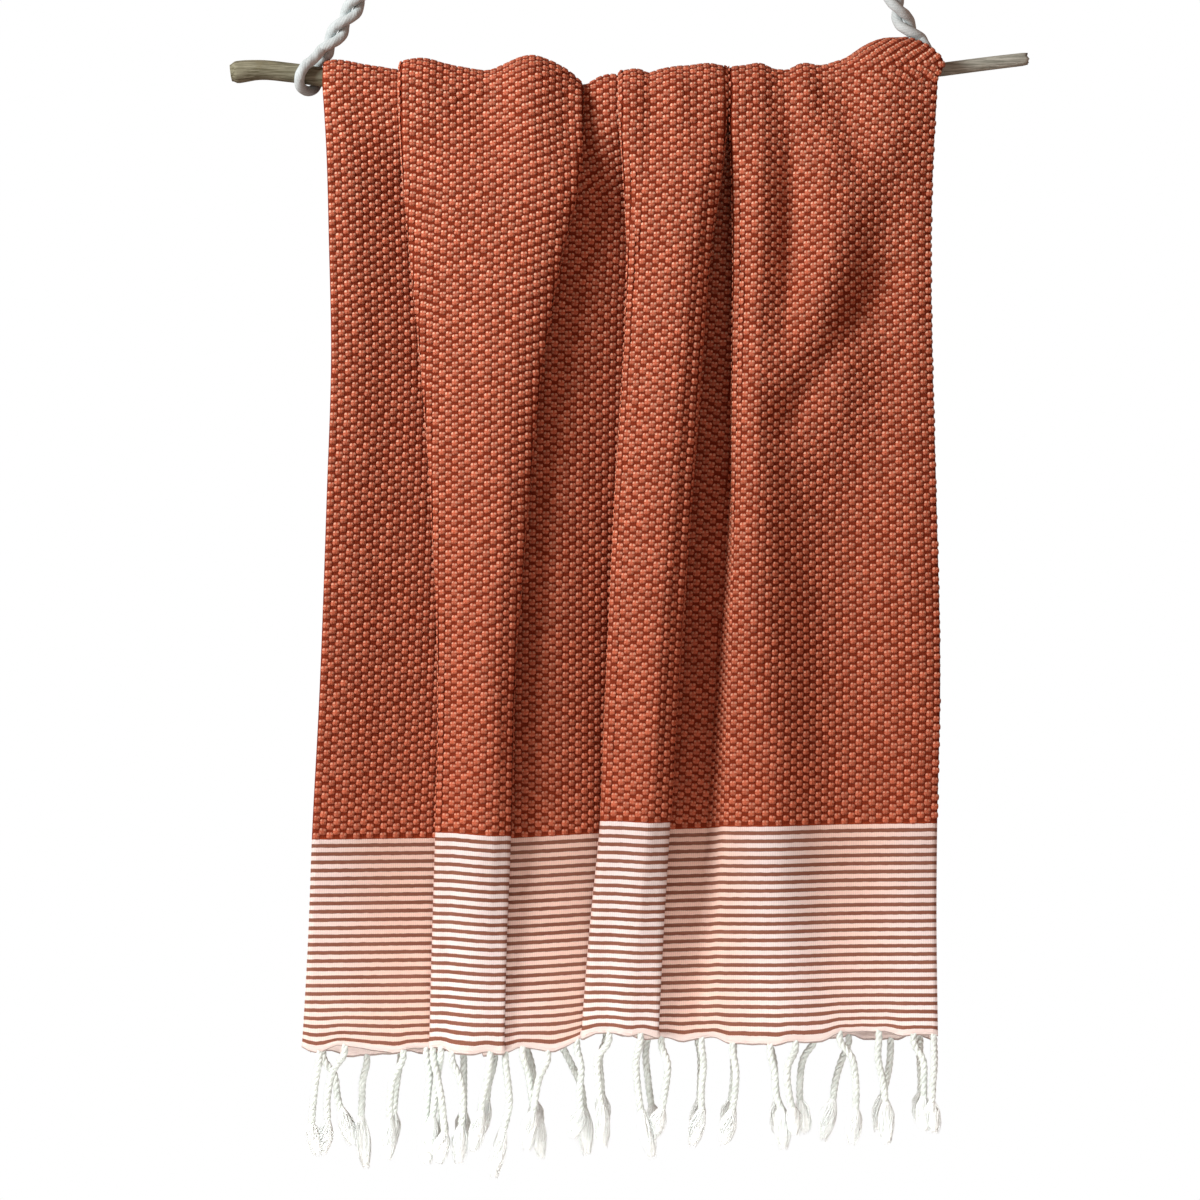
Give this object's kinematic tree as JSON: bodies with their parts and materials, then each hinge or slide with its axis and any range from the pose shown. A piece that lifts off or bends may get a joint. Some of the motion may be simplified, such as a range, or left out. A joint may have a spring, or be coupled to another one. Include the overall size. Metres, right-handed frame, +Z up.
{
  "type": "hammam towel hung on a driftwood stick",
  "caption": "Fringed honeycomb-weave hammam towel with a striped border, draped in pleats over a plain driftwood stick that hangs level from doubled twisted ropes.",
  "frame": {"origin": "where the left rope's eye bears on its hook: the inside of the eye's top, on the middle of its strand", "axes": "+Z up, +X along the stick from its thick left end to its thin right end, -Y towards the viewer of the towel's front layer"},
  "size_m": [0.7996, 0.0793, 1.2339],
  "materials": {
    "towel": "terracotta cotton in a raised honeycomb weave, with a border of brown and white stripes and a rolled off-white hem",
    "fringe": "off-white cotton yarn, twisted into cords that end in fluffy tufts",
    "stick": "weathered grey-brown driftwood, dry and matt",
    "rope": "soft pale grey cotton cord, matt"
  },
  "bodies": {
    "root": {"towel": "towel", "front_fringe": "fringe", "back_fringe": "fringe", "stick": "stick", "left_rope": "rope", "right_rope": "rope"}
  },
  "joints": []
}
